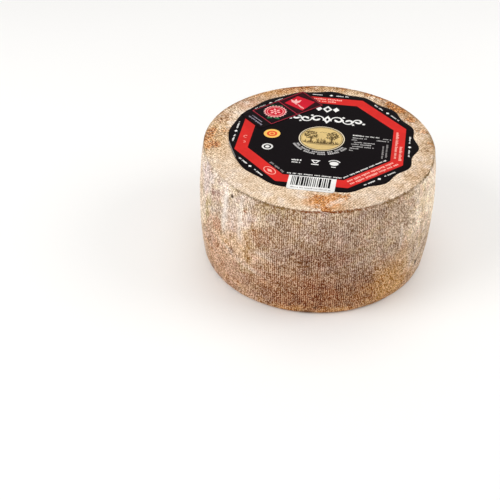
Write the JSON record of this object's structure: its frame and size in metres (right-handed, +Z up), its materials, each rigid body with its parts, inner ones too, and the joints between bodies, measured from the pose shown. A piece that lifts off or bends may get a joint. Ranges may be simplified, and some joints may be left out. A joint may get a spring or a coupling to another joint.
{
  "type": "aged goat cheese wheel",
  "caption": "Tall drum of aged cheese with a dry, cloth-marked natural rind, a scalloped paper label on top and a paper sticker across one side of the label.",
  "frame": {"origin": "centre of the drum's base, on the surface that it stands on", "axes": "+Z up through the middle of the drum, -Y towards the reader of the label, +X to the right of the label"},
  "size_m": [0.1986, 0.2002, 0.1044],
  "materials": {
    "rind": "dry, matt natural rind, mottled cream, grey brown and ochre, with the print of a cloth round its side",
    "label_print": "coated paper, black with a dark red eight-sided band, a gold round and small white marks",
    "sticker_print": "coated paper, black with a thin red frame, a red seal and a red square"
  },
  "bodies": {
    "root": {"cheese_drum": "rind", "paper_label": "label_print", "corner_sticker": "sticker_print"}
  },
  "joints": []
}
